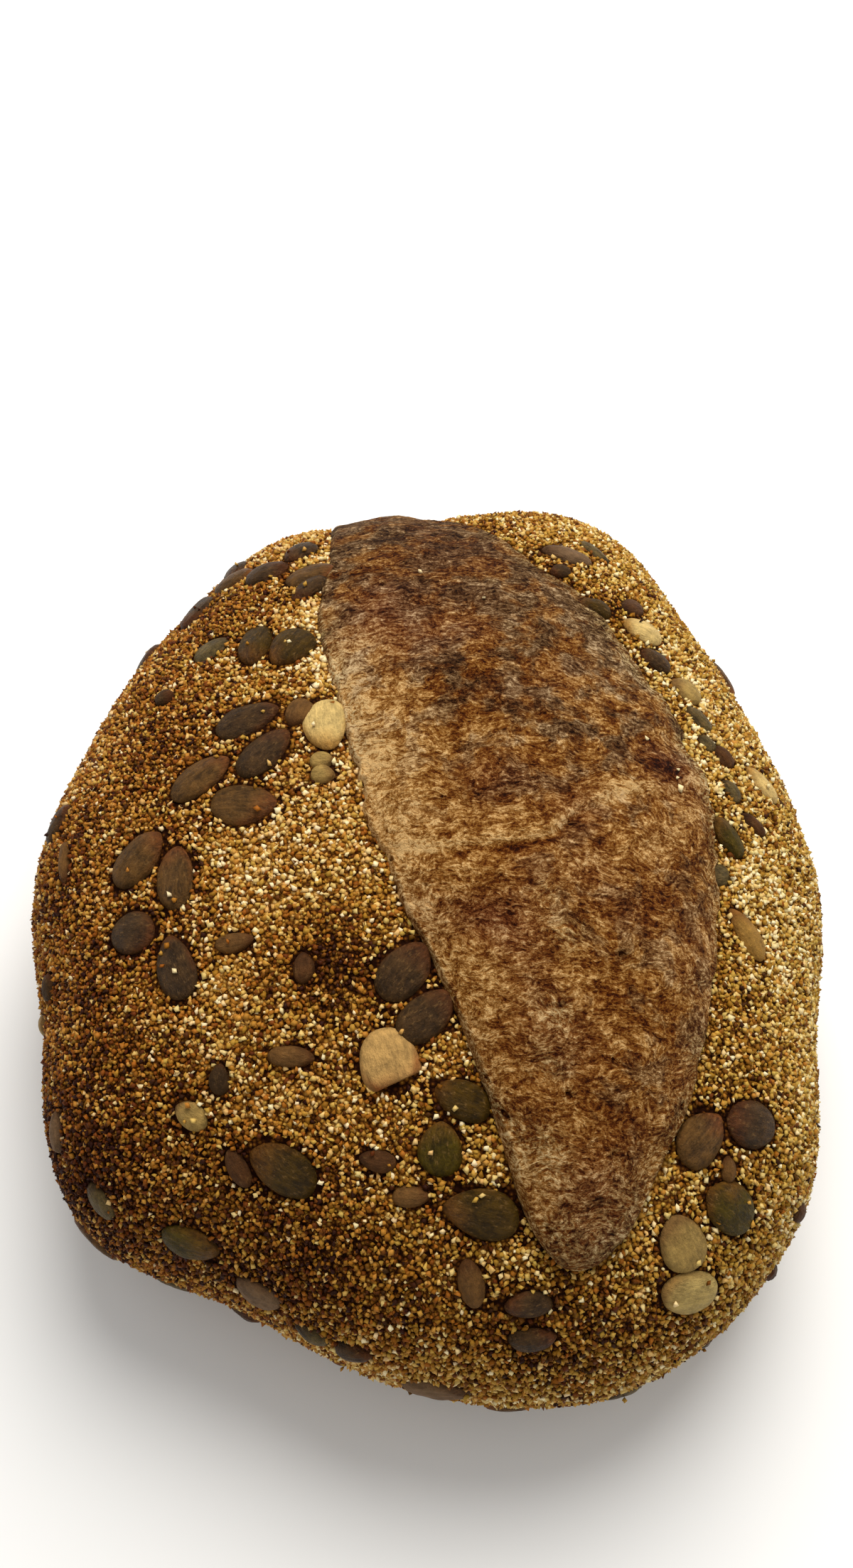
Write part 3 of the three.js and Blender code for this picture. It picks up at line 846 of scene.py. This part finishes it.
def seed_mesh(length, width, thickness, number, halved):
    """A plump flat oval with one pointed end, around its own middle, lying in X and Y."""
    draw = np.random.default_rng(number)
    taper, point, bend, plump = draw.uniform(*SEED_VARIETY)
    squareness = HALF_SQUARENESS if halved else 1
    inward = np.sin(np.linspace(0, np.pi / 2, SEED_RINGS + 1))[1:]
    shares = np.concatenate([inward, inward[-2::-1]])
    sides = np.concatenate([np.ones(SEED_RINGS), -np.ones(SEED_RINGS - 1)])
    turn = np.linspace(0, 2 * np.pi, SEED_AROUND, endpoint=False)
    share, angle = (grid.ravel() for grid in np.meshgrid(shares, turn, indexing="ij"))
    side = np.repeat(sides, SEED_AROUND)
    x, y = (share * np.sign(v) * np.abs(v) ** squareness for v in (np.cos(angle), np.sin(angle)))
    if halved:
        x *= 1 + 0.14 * y
        y = np.minimum(y, HALF_CUT + 0.12 * x)
    else:
        x = x * (1 - taper * y - point * np.maximum(y, 0) ** 4) + bend * y * y
    rim_height, rim_place, rim_width = SEED_RIM
    height = (seed_profile(share) + rim_height * hump(share - rim_place, rim_width)) * side
    points = np.stack([x * width / 2, y * length / 2, height * plump * thickness / 2], -1)
    shifted = points + number * NOISE_SHIFT
    points[:, :2] *= (1 + 0.045 * noise(shifted, 5, 41) + 0.02 * noise(shifted, 1.8, 43))[:, None]
    points[:, 2] += 0.2 * noise(shifted, 3.2, 42) + 0.07 * noise(shifted * [2, 0.4, 1], 1, 44)
    rings = points.reshape(len(shares), SEED_AROUND, 3)
    return closed_skin([0, 0, plump * thickness / 2], rings, [0, 0, -plump * thickness / 2])


def seed_skin(points, length, width, look, number):
    """The colours of a seed: one at its rim and pointed end, another over the rest."""
    main, tip = (np.array(rgb(*colour)[:3]) for colour in LOOKS[look])
    wander = 0.6 * noise(points + number * NOISE_SHIFT, 4, 45)
    oval = np.hypot(points[:, 0] / width, points[:, 1] / length) * 2
    share = 0.3 + 2.2 * (points[:, 1] / length - 0.25) + wander + 0.6 * hump(oval - 0.95, 0.12)
    share = np.clip(share, 0, 1)[:, None]
    return (main * (1 - share) + tip * share) * (1 + 0.12 * noise(points + number, 60, 46))[:, None]


def make_seeds(name, rows, thickness, material, slot):
    """All seeds of one kind as one piece."""
    all_points, all_faces, skins, own_places = [], [], [], []
    count = 0
    for number, (azimuth, rise, turn, length, width, look) in enumerate(rows):
        middle, axes = seed_frame(azimuth, rise, turn, look)
        points, faces = seed_mesh(length, width, thickness, number, look == HALVED)
        all_points.append(middle + points @ axes)
        all_faces.append(faces + count)
        skins.append(seed_skin(points, length, width, look, number))
        own_places.append(points + number * TEXTURE_SHIFT)
        count += len(points)
    return mesh_piece(
        name, np.concatenate(all_points), np.concatenate(all_faces), material, slot,
        skin=np.concatenate(skins), local=np.concatenate(own_places))


def seed_nearness(points, rows):
    """Distances of points from the nearest seed's middle, as shares of the way to its rim."""
    nearest = np.full(len(points), float(FAR))
    for azimuth, rise, turn, length, width, look in rows:
        middle, axes = seed_frame(azimuth, rise, turn, look)
        local = (points - middle) @ axes.T
        share = np.hypot(local[:, 0] / (width / 2), local[:, 1] / (length / 2))
        share += SUNK.get(look, 0) / COVERING_DEPTH
        share[np.abs(local[:, 2]) >= SEED_REACH] = FAR
        nearest = np.minimum(nearest, share)
    return nearest


def grain_places(rows):
    """Directions of the grains: at most one in each small cell that the crust passes through."""
    z = rng.uniform(-1, 1, GRAIN_TRIES)
    turn = rng.uniform(0, 2 * np.pi, GRAIN_TRIES)
    flat = np.sqrt(1 - z * z)
    d = np.stack([flat * np.cos(turn), flat * np.sin(turn), z], -1)
    points = CORE + d * reach(d)[:, None]
    cells = np.floor(points / GRAIN_CELL).astype(np.int64) + GRAIN_CELLS_ACROSS // 2
    keys = (cells[:, 0] * GRAIN_CELLS_ACROSS + cells[:, 1]) * GRAIN_CELLS_ACROSS + cells[:, 2]
    d = d[np.unique(keys, return_index=True)[1]]
    points, outside = skin_point(d)
    nearness = seed_nearness(points + GAP_WANDER * rng.normal(size=points.shape), rows)
    lift = ON_SEED_LIFT * seed_profile(np.minimum(nearness, 1))
    on_seeds = (nearness < ON_SEED) & (rng.uniform(size=len(d)) < GRAINS_ON_SEEDS)
    thinned = (points[:, 2] > UNDERSIDE_TOP) | (rng.uniform(size=len(d)) < GRAINS_UNDER)
    coated = outside > COAT_GAP + COAT_WANDER * noise(points, 2.5, 51)
    keep = coated & thinned & ((nearness > SEED_GAP) | on_seeds)
    normals = skin_normal(d[keep])
    return points[keep] + normals * lift[keep][:, None], normals


def stray_places():
    """Points and upward directions of the single grains that lie on the burst."""
    along, across = np.array(STRAY_GRAINS).T
    points, _ = burst_surface(along, across)
    return points, unit(points - CORE)


# A grain before it is stretched and its corners moved: three pairs of opposite corners
GRAIN_CORNERS = np.repeat(np.eye(3), 2, axis=0) * np.tile([1, -1], 3)[:, None]
GRAIN_FACES = np.array([
    (0, 2, 4), (2, 1, 4), (1, 3, 4), (3, 0, 4), (2, 0, 5), (1, 2, 5), (3, 1, 5), (0, 3, 5)])


def random_turns(count):
    """Random rotation matrices, by quaternions."""
    w, x, y, z = unit(rng.normal(size=(count, 4))).T
    return np.stack([
        1 - 2 * (y * y + z * z), 2 * (x * y - z * w), 2 * (x * z + y * w),
        2 * (x * y + z * w), 1 - 2 * (x * x + z * z), 2 * (y * z - x * w),
        2 * (x * z - y * w), 2 * (y * z + x * w), 1 - 2 * (x * x + y * y)], -1).reshape(-1, 3, 3)


def grain_colours(tone, hue):
    """Linear colours for tones from 0 to 1 and hues from 0, orange, to 2, greenish."""
    columns = []
    for palette in PALETTES:
        table = np.array([rgb(*colour)[:3] for colour in palette])
        columns.append([np.interp(tone, PALETTE_TONES, table[:, k]) for k in range(3)])
    orange = np.clip(1 - hue, 0, 1)
    green = np.clip(hue - 1, 0, 1)
    return np.einsum("pkn,pn->nk", np.array(columns), np.stack([orange, 1 - orange - green, green]))


def grain_corners(points, normals, tone):
    """The six corners of an uneven, turned lump for each grain, with pale grains a little larger."""
    count = len(points)
    size = rng.uniform(*GRAIN_SIZES, count) * (0.85 + 0.25 * np.clip(tone, 0, 1))
    stretch = rng.uniform(*GRAIN_STRETCH, (count, 3)) * size[:, None]
    corners = GRAIN_CORNERS + rng.uniform(-GRAIN_UNEVENNESS, GRAIN_UNEVENNESS, (count, 6, 3))
    corners = np.einsum("nij,nkj->nki", random_turns(count), corners * stretch[:, None])
    rise = rng.uniform(0, GRAIN_RISE, count) * size
    corners += (points + normals * rise[:, None])[:, None]
    corners[..., 2] = np.maximum(corners[..., 2], 0)
    return corners


def grain_looks(points, tone):
    """Each grain's own tone, and its colour: more orange on the loaf's left, greener on its right."""
    count = len(points)
    tone = tone + rng.normal(0, GRAIN_TONE_SPREAD, count)
    tone += PALER_BY * (rng.uniform(size=count) < PALE_GRAINS)
    tone = np.clip(tone, 0, 1)
    tone[-len(STRAY_GRAINS):] = STRAY_TONE  # the strays come last
    hue = 0.7 + 0.5 * points[:, 0] / PLAN_RADII[0] + rng.normal(0, GRAIN_HUE_SPREAD, count)
    return tone, grain_colours(tone, hue)


def make_grains(rows):
    """The cornmeal coat, in one piece for each class of tone."""
    points, normals = (np.concatenate(pair) for pair in zip(grain_places(rows), stray_places()))
    tone = tone_at(points)
    corners = grain_corners(points, normals, tone)
    tone, skin = grain_looks(points, tone)
    order = np.argsort(-tone)
    material = grain_material()
    for name, chosen in zip(GRAIN_CLASSES, np.array_split(order, len(GRAIN_CLASSES))):
        faces = GRAIN_FACES + 6 * np.arange(len(chosen))[:, None, None]
        piece = mesh_piece(
            "cornmeal_" + name, corners[chosen].reshape(-1, 3), faces.reshape(-1, 3), material,
            "cornmeal_grain", skin=np.repeat(skin[chosen], 6, axis=0))
        one_cell_each(piece, len(chosen))


def one_cell_each(piece, count):
    """A bake map with a small square for each grain, which has one colour all over."""
    side = int(np.ceil(np.sqrt(count)))
    number = np.repeat(np.arange(count), len(GRAIN_FACES))
    cell = np.stack([number % side, number // side], -1)[:, None]
    triangle = np.array([(0.25, 0.25), (0.75, 0.25), (0.5, 0.75)])
    layer = piece.data.uv_layers.new(name="OFBake")
    layer.data.foreach_set("uv", ((cell + triangle) / side).astype(np.float32).ravel())


def make_floor():
    """A plain pale floor."""
    made, _, shader = new_material("floor", Roughness=0.7)
    shader.inputs["Base Color"].default_value = rgb(*FLOOR_COLOUR)
    bpy.ops.mesh.primitive_plane_add(size=FLOOR_SIZE)
    floor = bpy.context.object
    floor.name = "floor"
    floor.data.materials.append(made)


def make_light(name, place, size, watts, colour):
    """A round soft lamp that faces the middle of the floor."""
    data = bpy.data.lights.new(name, "AREA")
    data.shape = "DISK"
    data.size = size
    data.energy = watts
    data.color = colour
    lamp = bpy.data.objects.new(name, data)
    lamp.location = place
    lamp.rotation_euler = (-lamp.location).to_track_quat("-Z", "Y").to_euler()
    bpy.context.collection.objects.link(lamp)


def make_studio():
    """Even white light all round and one soft lamp overhead."""
    world = bpy.data.worlds.new("studio")
    bpy.context.scene.world = world
    world.use_nodes = True
    backdrop = world.node_tree.nodes["Background"]
    backdrop.inputs["Color"].default_value = (1, 1, 1, 1)
    backdrop.inputs["Strength"].default_value = SKY_STRENGTH
    make_light("overhead", LAMP_PLACE, LAMP_SIZE, LAMP_POWER, LAMP_COLOUR)
    bpy.context.scene.view_settings.view_transform = "Standard"


def make_camera():
    """The camera of the photograph."""
    data = bpy.data.cameras.new("camera")
    data.lens = CAMERA_LENS
    data.sensor_width = CAMERA_SENSOR
    data.clip_start = 0.01
    camera = bpy.data.objects.new("camera", data)
    rise = np.radians(CAMERA_ELEVATION)
    back = CAMERA_DISTANCE * np.cos(rise)
    up = CAMERA_AIM_HEIGHT + CAMERA_DISTANCE * np.sin(rise)
    camera.location = (0, -back * MM, up * MM)
    camera.rotation_euler = (np.radians(90 - CAMERA_PITCH), 0, 0)
    bpy.context.collection.objects.link(camera)
    bpy.context.scene.camera = camera


make_camera()
make_studio()
make_floor()
hidden_seeds = scattered_seeds()
all_seeds = PUMPKIN_SEEDS + PALE_SEEDS + SUNFLOWER_SEEDS + hidden_seeds
make_crust(all_seeds)
make_burst()
make_seeds("pumpkin_seeds", PUMPKIN_SEEDS + hidden_seeds, THICKNESS["pumpkin"],
           seed_material("pumpkin_seed", roughness=0.42, streak=0.5, wear=0.42), "pumpkin_seed")
make_seeds("pale_seeds", PALE_SEEDS, THICKNESS["pale"],
           seed_material("pale_seed", roughness=0.6, streak=0.3, wear=0.12), "pale_seed")
make_seeds("sunflower_seeds", SUNFLOWER_SEEDS, THICKNESS["sunflower"],
           seed_material("sunflower_seed", roughness=0.6, streak=0.3, wear=0.3), "sunflower_seed")
make_grains(all_seeds)
